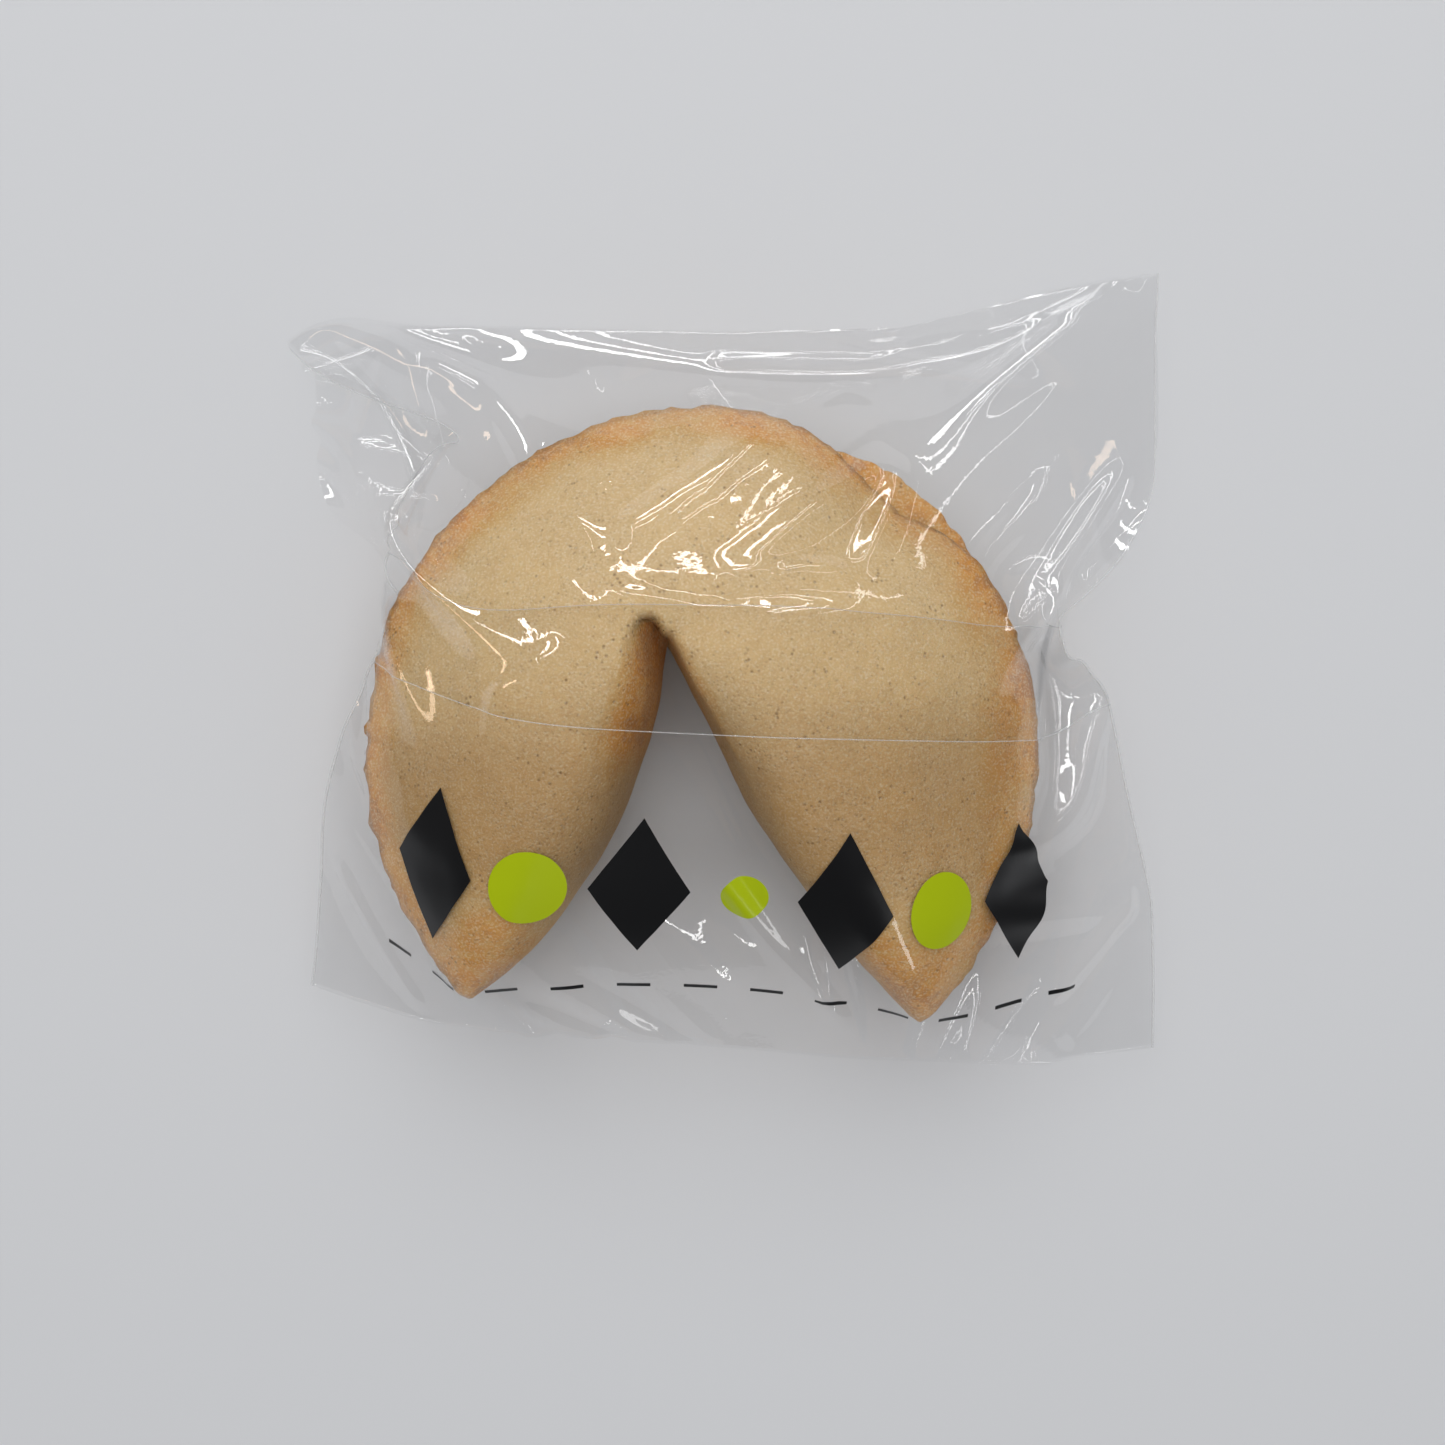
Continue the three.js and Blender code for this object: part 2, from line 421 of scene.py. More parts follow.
pits = nodes.new("ShaderNodeTexVoronoi")
pits.inputs["Scale"].default_value = 1500
links.new(coordinates.outputs["Object"], pits.inputs["Vector"])
holes = remap(pits.outputs["Distance"], 0.0, 0.32, 1.0, 0.0)
pitting = nodes.new("ShaderNodeAttribute")
pitting.attribute_name = "pitted"
spread = combine("ADD", texture(420, 2), combine("MULTIPLY", pitting.outputs["Fac"], 0.13))
rare = remap(spread, 0.50, 0.64, 0.0, 1.0)
specks = combine("MULTIPLY", holes, rare)
colour = tint(combine("MULTIPLY", specks, 0.85), colour, SPECK)
sand = nodes.new("ShaderNodeTexVoronoi")
sand.inputs["Scale"].default_value = 2300
links.new(coordinates.outputs["Object"], sand.inputs["Vector"])
pores = remap(sand.outputs["Distance"], 0.05, 0.4, 1.0, 0.0)
pores = combine("MULTIPLY", pores, remap(patchy, 0.35, 0.6, 0.3, 1.0))
colour = tint(combine("MULTIPLY", pores, 0.34), colour, PORE)
flour = texture(4200, 1)
colour = tint(remap(flour, 0.48, 0.72, 0.0, 0.5), colour, FLOUR)
# Painted shade: this darkens the near halves of the lobes.
shaded = nodes.new("ShaderNodeAttribute")
shaded.attribute_name = "lobes"
colour = tint(shaded.outputs["Fac"], colour, LOBE_SHADE_TINT, "MULTIPLY")
links.new(colour, shader.inputs["Base Color"])

sandy = combine("MULTIPLY", texture(2600, 2, 0.65), 0.7)
grain = combine("ADD", sandy, combine("MULTIPLY", mottle, 0.9))
relief = combine("SUBTRACT", grain, combine("MULTIPLY", specks, 0.8))
relief = combine("SUBTRACT", relief, combine("MULTIPLY", pores, 0.5))
bumps = nodes.new("ShaderNodeBump")
bumps.inputs["Strength"].default_value = 0.55
bumps.inputs["Distance"].default_value = 0.22 * MM
links.new(relief, bumps.inputs["Height"])
links.new(bumps.outputs["Normal"], shader.inputs["Normal"])
cookie.data.materials.append(baked)
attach(cookie, "root")
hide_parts("sealed_bag")

# ---------------------------------------------------------------------------
# The bag. One length of clear film is folded at the bottom edge and at the top, and welded along
# both sides up to the mouth. Above the mouth the flap and the back panel have free sides. All
# lengths are millimetres.
BAG_WIDTH = 93.5
BAG_LENGTH = 86.0
MOUTH = 48.5  # from the bottom edge to the front panel's free edge
FILM_GAP = 0.45  # from the cookie's surface to the middle of the film
# Each edge as (distance along it, x, y, z).
LEFT_WELD = [
    (0, -43.1, -33.4, 4), (14, -42.0, -17.9, 8), (20, -41.1, -13.1, 10.5), (28.5, -37.8, -5.0, 13),
    (36, -34.8, 1.4, 13.5), (42.5, -32.5, 6.9, 13.5), (48.5, -33.4, 11.3, 13),
]
LEFT_OF_FLAP = [
    (48.5, -33.4, 11.3, 13), (54, -32.2, 15.1, 15), (58, -30.5, 18.5, 17), (61, -28.6, 20.8, 18),
    (65.5, -24.7, 22.5, 18), (74, -32.7, 26.0, 14), (83, -42.8, 30.7, 9), (86, -45.6, 33.8, 6),
]
LEFT_OF_BACK = [
    (48.5, -33.4, 11.3, 13), (53, -39.2, 15.0, 8), (57, -41.7, 17.3, 6), (60, -42.0, 20.0, 5),
    (66, -42.2, 24.7, 5), (74, -42.5, 30.5, 5), (86, -45.6, 33.8, 6),
]
RIGHT_WELD = [
    (0, 45.6, -40.1, 4), (8, 45.6, -32.1, 6), (18, 45.0, -22.4, 7.5), (27, 42.1, -13.7, 9),
    (33, 40.9, -7.4, 10), (38.5, 39.6, -2.2, 10.5), (42, 37.4, 0.1, 11), (48.5, 33.8, 3.1, 11.5),
]
RIGHT_OF_FLAP = [
    (48.5, 33.8, 3.1, 11.5), (50, 34.9, 5.0, 11.5), (54.5, 39.1, 8.5, 11), (58, 41.5, 11.3, 10),
    (65, 45.6, 18.0, 8), (70, 45.9, 23.9, 6), (80, 45.8, 35.4, 5.5), (86, 46.1, 42.1, 6),
]
RIGHT_OF_BACK = [
    (48.5, 33.8, 3.1, 11.5), (50, 35.6, 5.6, 11), (54.5, 40.2, 9.2, 9), (58, 43.1, 12.3, 7),
    (65, 45.8, 18.0, 5), (70, 46.2, 23.9, 4.5), (80, 45.8, 35.4, 5), (86, 46.1, 42.1, 6),
]
BOTTOM_EDGE = [
    (0, -43.1, -33.4, 4), (3.5, -39.2, -35.8, 5), (13, -30.3, -37.8, 8), (18.5, -24.7, -37.7, 9.5),
    (34, -10.2, -38.5, 11), (46, 0.1, -39.3, 11), (61, 15.0, -40.9, 10), (80, 33.0, -41.6, 7),
    (93.5, 45.6, -40.1, 4),
]
TOP_EDGE = [
    (0, -45.6, 33.8, 6), (4, -41.8, 35.7, 8), (46, 0.1, 34.2, 11), (65, 18.6, 34.7, 10),
    (93.5, 46.1, 42.1, 6),
]

# How far each place near the cookie is from its surface, on a grid: negative inside.
GRID_STEP = 1.0
GRID_MARGIN = 6
FAR_OFF = 100
shell = np.zeros(len(cookie.data.vertices) * 3)
cookie.data.vertices.foreach_get("co", shell)
shell = shell.reshape(-1, 3) / MM
faces = [tuple(face.vertices) for face in cookie.data.polygons]
surface = BVHTree.FromPolygons(shell.tolist(), faces)
grid_low = shell.min(0) - GRID_MARGIN
grid_size = np.ceil((shell.max(0) + GRID_MARGIN - grid_low) / GRID_STEP).astype(int) + 1
distance = np.zeros(grid_size)
for column in np.ndindex(grid_size[0], grid_size[1]):
    x, y = grid_low[:2] + GRID_STEP * np.array(column)
    above = surface.ray_cast((x, y, FAR_OFF), (0, 0, -1))[0]
    below = surface.ray_cast((x, y, -FAR_OFF), (0, 0, 1))[0]
    for level in range(grid_size[2]):
        z = grid_low[2] + GRID_STEP * level
        nearest = surface.find_nearest((x, y, z))[3]
        inside = above is not None and below.z < z < above.z
        distance[(*column, level)] = -nearest if inside else nearest
field = np.stack([distance, *np.gradient(distance, GRID_STEP)], -1)

# Both layers start flat and are drawn to their cut size while the cookie swells between them,
# with the bag's edges held where they lie. This takes many small moves. In each the film glides
# on and falls a little, and is then drawn back to its own length, while it's kept off the
# cookie, the table and its other layer.
GLIDE = 0.9  # share of its speed that the film keeps from one move to the next
FASTEST = 0.6  # the furthest that the film glides in one move
FALL = 0.01  # how far its weight draws it down in one move
GROWING = 0.7  # share of the moves in which the cookie grows
BARELY_THERE = 0.05  # the cookie's share of its height before it grows
FULL_SIZE = 1
CLOSE_AROUND = 40  # only film this near the cookie's middle and top is held off it
CLOSE_ABOVE = 5
FURTHEST_PUSH = 1.5
STIFFNESS = 0.12  # how strongly the film resists bending
GRIP_IN_HEIGHT = 0.5  # the share of the grip on its edges that counts in height
LAYER_GAP = 0.2
LOWEST = 0.1


def field_at(points):
    """Distance to the cookie and its slope, between the grid's points."""
    place = np.clip((points - grid_low) / GRID_STEP, 0, grid_size - 1.001)
    cell = place.astype(int)
    part = place - cell
    found = 0
    for corner in np.ndindex(2, 2, 2):
        share = np.where(corner, part, 1 - part).prod(1)
        found = found + share[:, None] * field[tuple((cell + corner).T)]
    return found


def keep_off_cookie(film, swelling):
    """Moves film out of the cookie, whose height is scaled by swelling while it grows."""
    points = film.reshape(-1, 3)
    low = shell[:, 2].min()
    level = low + (points[:, 2] - low) / swelling
    around = np.abs(points[:, :2] - RIM_CENTRE).max(1) < CLOSE_AROUND
    near = np.nonzero(around & (level < shell[:, 2].max() + CLOSE_ABOVE))[0]
    places = points[near].copy()
    places[:, 2] = level[near]
    found = field_at(places)
    slope = found[:, 1:] / np.array([1, 1, swelling])
    steepness = np.linalg.norm(slope, axis=1) + 1e-9
    depth = np.clip(FILM_GAP - found[:, 0] / steepness, 0, FURTHEST_PUSH)
    points[near] += (depth / steepness)[:, None] * slope


def pairs(film, axis, reach, start):
    """Every other pair of film points that lie reach apart, so that none is in two pairs."""
    line = np.moveaxis(film, axis, 0)
    second = line[start + reach :: 2 * reach]
    return line[start :: 2 * reach][: len(second)], second


def draw(first, second, length, pull, push):
    """Draws pairs towards a length apart: pull if they are further away, push if nearer."""
    step = second - first
    span = np.sqrt((step * step).sum(-1, keepdims=True)) + 1e-9
    share = (span - length) / span
    step *= share * np.where(share > 0, pull, push) * 0.5
    first += step
    second -= step


def relax(film, across, up, stiffness):
    """One round over the film's threads both ways, its diagonals and its bending."""
    for start in (0, 1):
        draw(*pairs(film, 1, 1, start), across, 1, 1)
        draw(*pairs(film, 2, 1, start), up, 1, 1)
        left, right = pairs(film, 1, 1, start)
        diagonal = math.hypot(across, up)
        draw(left[:, :, :-1], right[:, :, 1:], diagonal, 1, 1)
        draw(left[:, :, 1:], right[:, :, :-1], diagonal, 1, 1)
    for start in range(4):
        draw(*pairs(film, 1, 2, start), 2 * across, 0, stiffness)
        draw(*pairs(film, 2, 2, start), 2 * up, 0, stiffness)


def join(film, mouth_row):
    """The two layers are one at the bottom fold, the top fold and the welds."""
    front, back = film
    for rows in (0, -1):
        front[:, rows] = back[:, rows] = (front[:, rows] + back[:, rows]) / 2
    for side in (0, -1):
        welded = (front[side, :mouth_row] + back[side, :mouth_row]) / 2
        front[side, :mouth_row] = back[side, :mouth_row] = welded


def settle(film, moves, rounds, hold, first_swelling):
    """Lets the film come to rest by so many moves, each with rounds of relaxing."""
    columns, rows = film.shape[1:3]
    across, up = BAG_WIDTH / (columns - 1), BAG_LENGTH / (rows - 1)
    mouth_row = round(MOUTH / up) + 1
    widths = np.linspace(0, BAG_WIDTH, columns)
    lengths = np.linspace(0, BAG_LENGTH, rows)
    held = [
        (film[0, 0], LEFT_WELD + LEFT_OF_FLAP[1:], lengths),
        (film[1, 0], LEFT_WELD + LEFT_OF_BACK[1:], lengths),
        (film[0, -1], RIGHT_WELD + RIGHT_OF_FLAP[1:], lengths),
        (film[1, -1], RIGHT_WELD + RIGHT_OF_BACK[1:], lengths),
    ]
    for layer in film:
        held += [(layer[:, 0], BOTTOM_EDGE, widths), (layer[:, -1], TOP_EDGE, widths)]
    held = [(edge, along_edge(points, steps)) for edge, points, steps in held]
    last = film.copy()
    for move in range(moves):
        grown = min(1, (move + 1) / (GROWING * moves))
        swelling = first_swelling + (FULL_SIZE - first_swelling) * grown
        grip = hold * (grown if first_swelling < FULL_SIZE else 1)
        glide = (film - last) * GLIDE
        speed = np.linalg.norm(glide, axis=-1, keepdims=True)
        last[:] = film
        film += glide * np.minimum(1, FASTEST / (speed + 1e-9))
        film[..., 2] -= FALL
        for turn in range(rounds):
            for edge, target in held:
                edge += (target - edge) * (grip, grip, grip * GRIP_IN_HEIGHT)
            relax(film, across, up, STIFFNESS)
            join(film, mouth_row)
            if turn % 2 == 1:
                lap = np.maximum(LAYER_GAP - film[0, :, 1:-1, 2] + film[1, :, 1:-1, 2], 0) / 2
                film[0, :, 1:-1, 2] += lap
                film[1, :, 1:-1, 2] -= lap
                keep_off_cookie(film, swelling)
                film[..., 2] = np.maximum(film[..., 2], LOWEST)


def along_edge(points, steps):
    """The places at the given distances along an edge."""
    table = np.array(points, float)
    return np.stack([np.interp(steps, table[:, 0], table[:, axis]) for axis in (1, 2, 3)], 1)


def finer(film, columns, rows):
    """The same film with more threads."""
    for axis, count in ((1, columns), (2, rows)):
        line = np.moveaxis(film, axis, 0)
        place = np.linspace(0, len(line) - 1, count)
        cell = np.minimum(place.astype(int), len(line) - 2)
        part = (place - cell)[:, None, None, None]
        film = np.moveaxis(line[cell] * (1 - part) + line[cell + 1] * part, 0, axis)
    return np.ascontiguousarray(film)


# The film starts flat, as a few threads each way, and is given more of them twice.
FRONT_START = 3.0
BACK_START = 0.3
corner = [np.array(edge[0][1:], float) for edge in (LEFT_WELD, RIGHT_WELD)]
corner += [np.array(TOP_EDGE[end][1:], float) for end in (0, -1)]
share_across = np.linspace(0, 1, 24)[:, None, None]
share_up = np.linspace(0, 1, 22)[None, :, None]
flat = (corner[0] * (1 - share_across) + corner[1] * share_across) * (1 - share_up)
flat = flat + (corner[2] * (1 - share_across) + corner[3] * share_across) * share_up
film = np.stack([flat, flat])
film[0, ..., 2] = FRONT_START
film[1, ..., 2] = BACK_START
settle(film, moves=200, rounds=12, hold=0.1, first_swelling=BARELY_THERE)
film = finer(film, 47, 43)
settle(film, moves=100, rounds=20, hold=0.06, first_swelling=FULL_SIZE)
film = finer(film, 94, 87)
settle(film, moves=55, rounds=20, hold=0.05, first_swelling=FULL_SIZE)

# The front is pulled smooth where it's tightest, over the middle of the fold.
TIGHT_MIDDLE = (0.0, 13.0)
TIGHT_REACH = 24
SMOOTHINGS = 90
front = film[0]
off_middle = np.linalg.norm(front[1:-1, 1:-1, :2] - TIGHT_MIDDLE, axis=-1)
tightness = np.exp(-((off_middle / TIGHT_REACH) ** 4))[..., None]
for turn in range(SMOOTHINGS):
    around = front[:-2, 1:-1] + front[2:, 1:-1] + front[1:-1, :-2] + front[1:-1, 2:]
    front[1:-1, 1:-1] += (around / 4 - front[1:-1, 1:-1]) * 0.5 * tightness
    if turn % 3 == 2:
        keep_off_cookie(film, FULL_SIZE)


def weights(part):
    """The shares of a cubic B-spline's four points."""
    shares = [
        (1 - part) ** 3,
        3 * part**3 - 6 * part**2 + 4,
        -3 * part**3 + 3 * part**2 + 3 * part + 1,
        part**3,
    ]
    return np.stack(shares) / 6


def film_place(layer, across, up):
    """Places on a layer's smooth surface, at distances across and up the flat film."""
    columns, rows = layer.shape[:2]
    wide = np.pad(layer, ((1, 1), (1, 1), (0, 0)), mode="reflect", reflect_type="odd")
    place = [
        np.clip(across / BAG_WIDTH * (columns - 1), 0, columns - 1.00001),
        np.clip(up / BAG_LENGTH * (rows - 1), 0, rows - 1.00001),
    ]
    cell = [axis.astype(int) for axis in place]
    share = [weights(axis - first) for axis, first in zip(place, cell)]
    found = 0
    for i, j in np.ndindex(4, 4):
        found = found + (share[0][i] * share[1][j])[..., None] * wide[cell[0] + i, cell[1] + j]
    return found


# Creases in the upper face: rounded pleats, as (steepest slope, half width, points seen from
# above). The wing is the back panel's free side at the left.
CREASES = [
    (0.42, 2.8, [(-10.5, 10.8), (-1.8, 17.2), (5.8, 24.4)]),
    (0.42, 2.6, [(-0.6, 6.8), (7.8, 13.5), (17.8, 21.0)]),
    (0.55, 1.3, [(5.8, 24.4), (12.6, 27.7), (16.3, 27.2)]),
    (0.50, 2.2, [(13.5, 8.2), (16.3, 14.4), (18.7, 21.0)]),
    (0.45, 2.0, [(-0.6, 6.8), (7.8, 8.7), (13.5, 8.2)]),
    (0.55, 2.0, [(-31.5, 31.8), (-23.2, 28.3), (-19.0, 20.2), (-11.0, 10.6)]),
    (0.40, 1.8, [(-10.6, 6.2), (-2.0, 4.6), (13.4, 4.2)]),
    (0.50, 2.2, [(-14.3, 1.8), (-20.5, -3.8), (-21.4, -9.4)]),
    (0.55, 1.2, [(44.0, 39.5), (28.0, 34.4), (15.2, 31.4), (-2.0, 31.2)]),
    (0.50, 1.3, [(40.5, 10.3), (33.9, 7.1), (29.2, 2.9)]),
    (0.60, 1.2, [(-39.8, -18.8), (-35.3, -26.9), (-29.9, -36.2)]),
    (0.60, 1.5, [(-1.8, -17.6), (5.0, -26.9), (14.3, -37.7)]),
    (0.60, 1.4, [(42.7, -21.6), (41.6, -25.5), (34.5, -33.3), (32.9, -34.2)]),
    (0.40, 1.2, [(32.0, -34.5), (37.3, -40.2)]),
]
WING_CREASES = [
    (0.60, 1.5, [(-42.0, 24.6), (-36.0, 23.0), (-29.0, 20.6)]),
    (0.60, 1.3, [(-41.6, 19.6), (-35.0, 18.2), (-27.0, 17.0)]),
    (0.55, 1.1, [(-41.0, 14.8), (-33.0, 12.8)]),
]
PLEAT_SLOPE = 1.54  # the steepest slope of a pleat that is 1 high and 1 in half width
CREASE_FREE = 3  # so near the bag's edges the creases fade out


def crease_height(places, creases):
    """How far the creases lift the film at places seen from above."""
    lifted = np.zeros(len(places))
    for slope, reach, corners in creases:
        line = np.array(corners)
        travelled = np.append(0, np.cumsum(np.linalg.norm(np.diff(line, axis=0), axis=1)))
        gap = np.full(len(places), np.inf)
        along_line = np.zeros(len(places))
        for start, end, before in zip(line[:-1], line[1:], travelled):
            run = end - start
            share = np.clip((places - start) @ run / (run @ run), 0, 1)
            away = np.linalg.norm(places - start - share[:, None] * run, axis=1)
            closer = away < gap
            gap = np.where(closer, away, gap)
            along_line = np.where(closer, before + share * np.linalg.norm(run), along_line)
        ends = ease(np.minimum(along_line, travelled[-1] - along_line), -0.5, 3.5)
        rounded = np.maximum(1 - (gap / reach) ** 2, 0) ** 2
        lifted += slope * reach / PLEAT_SLOPE * ends * rounded
    return lifted


# The film as one sheet: down the front from the mouth, up the back, and down again as the flap,
# which is stuck over the front. It is sampled every half millimetre.
FLAP_EDGE = 37.0
FLAP_OFFSET = 0.25
FLAP_LANDS_FROM, FLAP_LANDS_BY = 56, 50  # levels between which it comes down on the front
SAMPLE = 0.5
SLOPE_SPAN = 0.4
sheet_length = MOUTH + BAG_LENGTH + BAG_LENGTH - FLAP_EDGE
columns, rows = round(BAG_WIDTH / SAMPLE), round(sheet_length / SAMPLE)


def upper_face(across, up):
    """Places on the front and flap with their creases, and the outward directions there."""
    place = film_place(film[0], across, up)
    slopes = [
        film_place(film[0], across + da, up + du) - film_place(film[0], across - da, up - du)
        for da, du in ((SLOPE_SPAN, 0), (0, SLOPE_SPAN))
    ]
    outward = np.cross(*slopes)
    outward /= np.linalg.norm(outward, axis=-1, keepdims=True) + 1e-9
    raised = crease_height(place.reshape(-1, 3)[:, :2], CREASES).reshape(across.shape)
    fade = ease(np.minimum(across, BAG_WIDTH - across), 0, CREASE_FREE)
    fade = fade * ease(up, 0, CREASE_FREE) * ease(BAG_LENGTH - up, 0, CREASE_FREE)
    return place + (raised * fade)[..., None] * outward, outward


bpy.ops.object.select_all(action="DESELECT")
bpy.ops.mesh.primitive_grid_add(x_subdivisions=columns, y_subdivisions=rows, size=2)
bag = bpy.context.object
bag.name = "film"
grid = np.zeros(len(bag.data.vertices) * 3)
bag.data.vertices.foreach_get("co", grid)
grid = grid.reshape(-1, 3)
across = (grid[:, 0] + 1) / 2 * BAG_WIDTH
travelled = (grid[:, 1] + 1) / 2 * sheet_length
on_back = (travelled > MOUTH) & (travelled < MOUTH + BAG_LENGTH)
on_flap = travelled >= MOUTH + BAG_LENGTH
up = np.abs(travelled - MOUTH)
up = np.where(on_flap, 2 * BAG_LENGTH - up, up)
sheet, outward = upper_face(across, up)
lapped = FLAP_OFFSET * ease(up, FLAP_LANDS_FROM, FLAP_LANDS_BY) * on_flap
sheet += lapped[:, None] * outward
back = film_place(film[1], across, up)
back[:, 2] += crease_height(back[:, :2], WING_CREASES) * ease(across, 0, CREASE_FREE)
sheet = np.where(on_back[:, None], back, sheet)
bag.data.vertices.foreach_set("co", (sheet * MM).ravel())
bpy.ops.object.mode_set(mode="EDIT")
bpy.ops.mesh.select_all(action="SELECT")
bpy.ops.mesh.flip_normals()
bpy.ops.object.mode_set(mode="OBJECT")
bpy.ops.object.shade_smooth()

# Clear film: nearly all light goes straight through, and a mirror sheen grows towards grazing
# angles. A ripple finer than the creases breaks up the reflections.
FILM_IOR = 1.5
MOST_MIRRORED = 0.3
SHADOW_SHARE = 0.25  # of the sheen that counts against light on its way to a lamp
clear = bpy.data.materials.new("clear_film")
clear.use_nodes = True
nodes, links = clear.node_tree.nodes, clear.node_tree.links
gloss = nodes["Principled BSDF"]
gloss.inputs["Base Color"].default_value = (1, 1, 1, 1)
gloss.inputs["Metallic"].default_value = 1.0
gloss.inputs["Roughness"].default_value = 0.03
through = nodes.new("ShaderNodeBsdfTransparent")
through.inputs["Color"].default_value = (0.985, 0.985, 0.985, 1)
coordinates = nodes.new("ShaderNodeTexCoord")
side_seen = nodes.new("ShaderNodeNewGeometry")
sheen = nodes.new("ShaderNodeFresnel")
from_inside = remap(side_seen.outputs["Backfacing"], 0, 1, FILM_IOR, 1 / FILM_IOR)
links.new(from_inside, sheen.inputs["IOR"])
light_path = nodes.new("ShaderNodeLightPath")
unshaded = remap(light_path.outputs["Is Shadow Ray"], 0, 1, 1.0, SHADOW_SHARE)
cover = nodes.new("ShaderNodeMixShader")
mirrored = combine("MINIMUM", sheen.outputs["Fac"], MOST_MIRRORED)
links.new(combine("MULTIPLY", mirrored, unshaded), cover.inputs["Fac"])
links.new(through.outputs["BSDF"], cover.inputs[1])
links.new(gloss.outputs["BSDF"], cover.inputs[2])
links.new(cover.outputs["Shader"], nodes["Material Output"].inputs["Surface"])
ripple = nodes.new("ShaderNodeBump")
ripple.inputs["Strength"].default_value = 0.5
ripple.inputs["Distance"].default_value = 0.016 * MM
links.new(texture(1600, 1), ripple.inputs["Height"])
links.new(ripple.outputs["Normal"], gloss.inputs["Normal"])
bag.data.materials.append(clear)
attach(bag, "root")
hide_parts("sealed_bag")

# ---------------------------------------------------------------------------
# The bag's edges. The welded sides, the mouth and the free edges of the flap and the back panel
# show as thin milky beads, where the film is melted together or cut.
BEAD = 0.1
WELD_BEAD = 0.13
FREE_BEAD = 0.06
MOUTH_BEAD = 0.05
wire = bpy.data.curves.new("bag_edges", "CURVE")
wire.dimensions = "3D"
wire.bevel_depth = BEAD * MM
wire.bevel_resolution = 1
wire.use_fill_caps = True


def edge_bead(across, up, radius, offset=0.0):
    """A bead along a line of the film, given by its distances across and up the flat film."""
    across, up = np.broadcast_arrays(across, up)
    place, outward = upper_face(across, up)
    line = wire.splines.new("POLY")
    line.points.add(len(place) - 1)
    for point, (x, y, z) in zip(line.points, place + offset * outward):
        point.co = (x * MM, y * MM, z * MM, 1)
        point.radius = radius / BEAD


for column in (0.0, BAG_WIDTH):
    edge_bead(column, np.linspace(0, MOUTH, 98), WELD_BEAD)
    edge_bead(column, np.linspace(MOUTH, BAG_LENGTH, 76), FREE_BEAD)
widths = np.linspace(0, BAG_WIDTH, 188)
edge_bead(widths, MOUTH, MOUTH_BEAD)
edge_bead(widths, FLAP_EDGE, FREE_BEAD, FLAP_OFFSET)
edges = bpy.data.objects.new("bag_edges", wire)
scene.collection.objects.link(edges)
bpy.ops.object.select_all(action="DESELECT")
edges.select_set(True)
bpy.context.view_layer.objects.active = edges
bpy.ops.object.convert(target="MESH")
bpy.ops.object.shade_smooth()

milky = bpy.data.materials.new("film_edge")
milky.use_nodes = True
gloss = milky.node_tree.nodes["Principled BSDF"]
gloss.inputs["Base Color"].default_value = (0.75, 0.76, 0.76, 1)
gloss.inputs["Roughness"].default_value = 0.15
gloss.inputs["Alpha"].default_value = 0.3
edges.data.materials.append(milky)
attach(edges, "root")
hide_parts("sealed_bag")

# ---------------------------------------------------------------------------
# The print on the front: a row of black diamonds and lime discs over a broken black line. It is
# laid out on the flat film, and each ink lies just proud of the film, whose creases it follows.
ROW_LEVEL = 21.5
DIAMONDS = (17.5, 37.5, 56.5, 76.5)
DIAMOND_HALF_WIDTH = 4.6
DIAMOND_HALF_HEIGHT = 7.4
DISCS = ((27.5, 3.6), (66.5, 3.6), (47.0, 2.2))  # each as (middle, radius)
LINE_LEVEL = 9.2
DASHES = np.linspace(10, 80.3, 12)
DASH_LENGTH = 3.2
DASH_THICKNESS = 0.45
INK_HEIGHT = 0.06


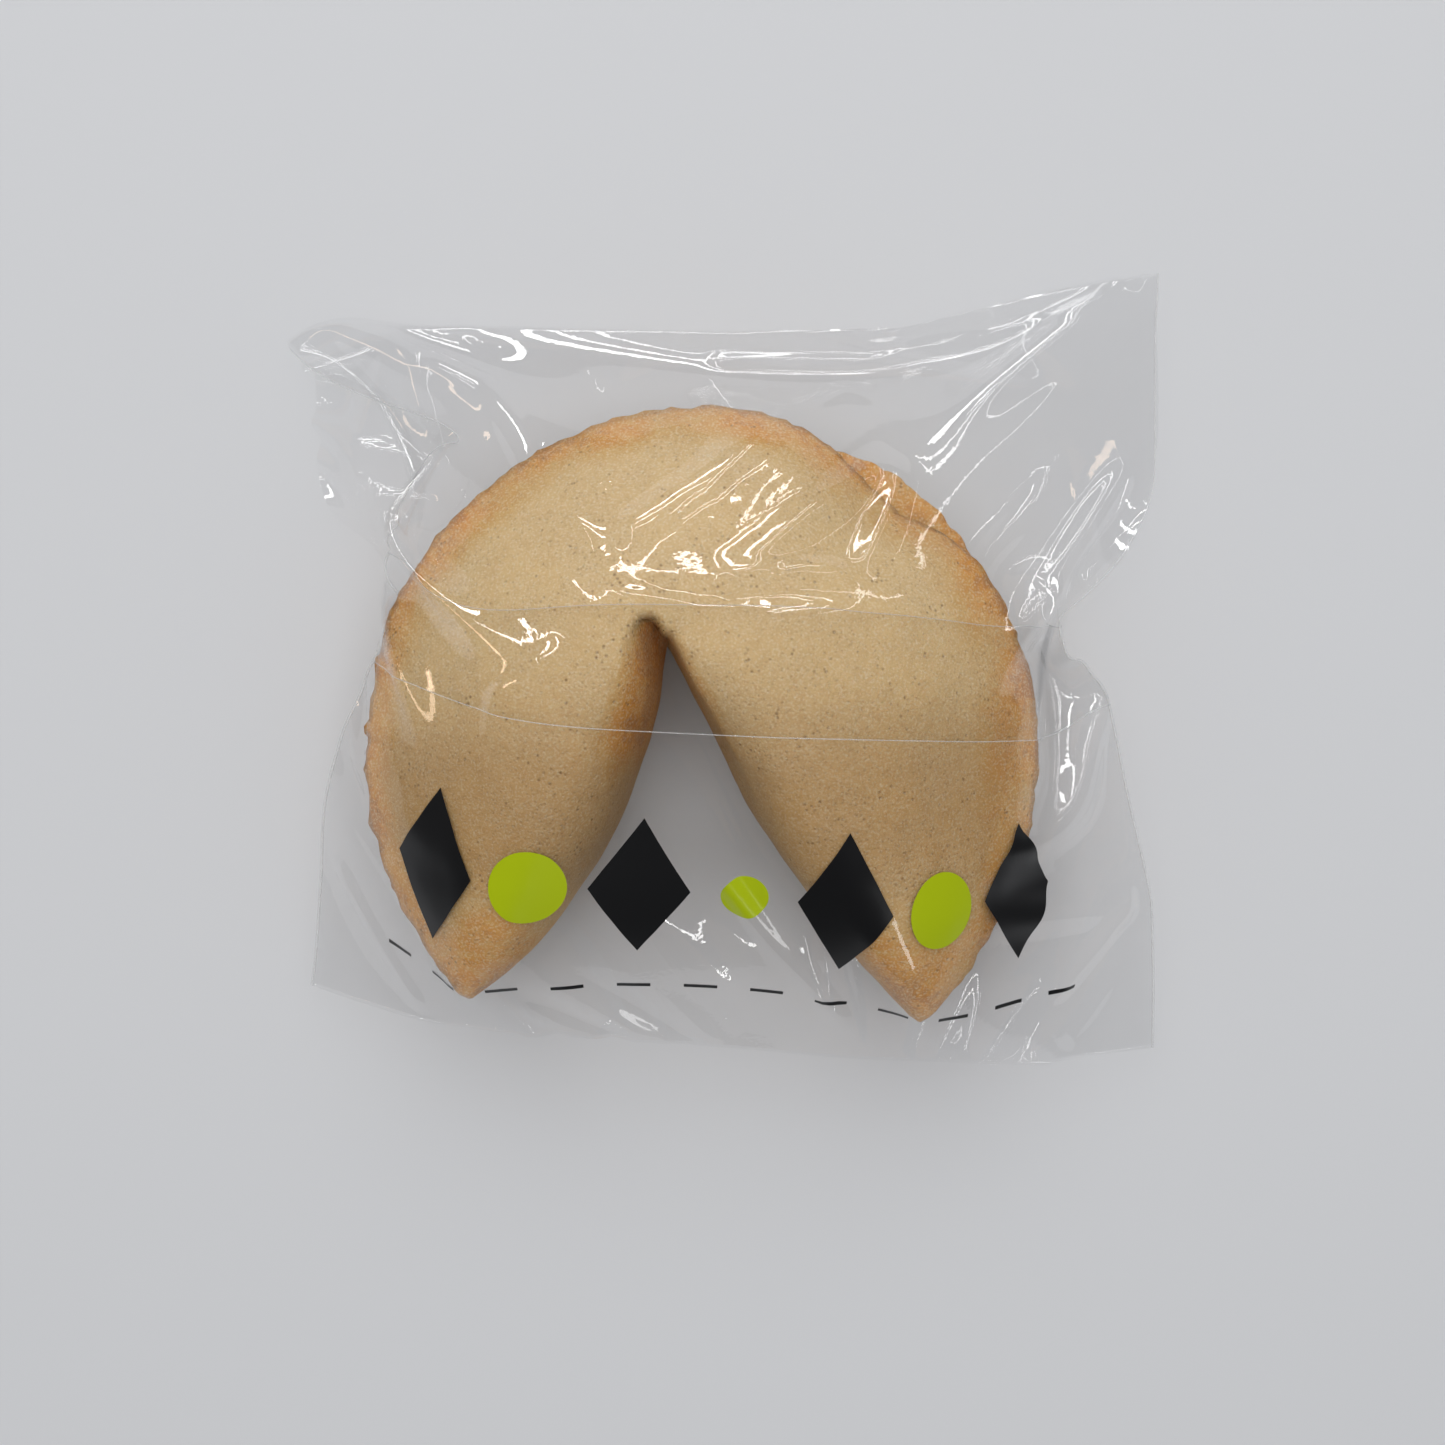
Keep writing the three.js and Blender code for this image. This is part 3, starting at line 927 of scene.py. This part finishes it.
def printed(name, patches):
    """One mesh of printed shapes, each a grid of (across, up) places on the flat film."""
    corners, quads = [], []
    for patch in patches:
        first = len(corners)
        place, outward = upper_face(patch[..., 0], patch[..., 1])
        corners += (place + INK_HEIGHT * outward).reshape(-1, 3).tolist()
        wide, high = patch.shape[:2]
        for i, j in np.ndindex(wide - 1, high - 1):
            start = first + i * high + j
            quads.append((start, start + high, start + high + 1, start + 1))
    mesh = bpy.data.meshes.new(name)
    mesh.from_pydata([[value * MM for value in corner] for corner in corners], [], quads)
    mesh.shade_smooth()
    shape = bpy.data.objects.new(name, mesh)
    scene.collection.objects.link(shape)
    return shape


def four_corners(lower_left, lower_right, upper_right, upper_left, steps_across, steps_up):
    """A grid of places between four corners."""
    s = np.linspace(0, 1, steps_across + 1)[:, None, None]
    t = np.linspace(0, 1, steps_up + 1)[None, :, None]
    low = np.array(lower_left) * (1 - s) + np.array(lower_right) * s
    high = np.array(upper_left) * (1 - s) + np.array(upper_right) * s
    return low * (1 - t) + high * t


def diamond(middle):
    """One diamond of the row, on its point."""
    left, right = middle - DIAMOND_HALF_WIDTH, middle + DIAMOND_HALF_WIDTH
    low, high = ROW_LEVEL - DIAMOND_HALF_HEIGHT, ROW_LEVEL + DIAMOND_HALF_HEIGHT
    corners = (middle, low), (right, ROW_LEVEL), (middle, high), (left, ROW_LEVEL)
    return four_corners(*corners, steps_across=16, steps_up=16)


def disc(middle, radius):
    """One disc of the row, as rings about its middle."""
    angle = np.linspace(0, 2 * math.pi, 49)[:, None]
    out = np.linspace(0.001, radius, 9)[None, :]
    return np.stack([middle + out * np.cos(angle), ROW_LEVEL - out * np.sin(angle)], -1)


def dash(left):
    """One short bar of the broken line."""
    right = left + DASH_LENGTH
    low, high = LINE_LEVEL - DASH_THICKNESS / 2, LINE_LEVEL + DASH_THICKNESS / 2
    corners = (left, low), (right, low), (right, high), (left, high)
    return four_corners(*corners, steps_across=4, steps_up=1)


black = [diamond(middle) for middle in DIAMONDS] + [dash(left) for left in DASHES]
green = [disc(middle, radius) for middle, radius in DISCS]
prints = [
    (printed("print_black", black), "black_ink", (0.01, 0.01, 0.011, 1)),
    (printed("print_green", green), "green_ink", (0.42, 0.52, 0.0, 1)),
]
for shape, ink, ink_colour in prints:
    coat = bpy.data.materials.new(ink)
    coat.use_nodes = True
    shader = coat.node_tree.nodes["Principled BSDF"]
    shader.inputs["Base Color"].default_value = ink_colour
    shader.inputs["Roughness"].default_value = 0.3
    shape.data.materials.append(coat)
    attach(shape, "root")
    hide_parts("sealed_bag")
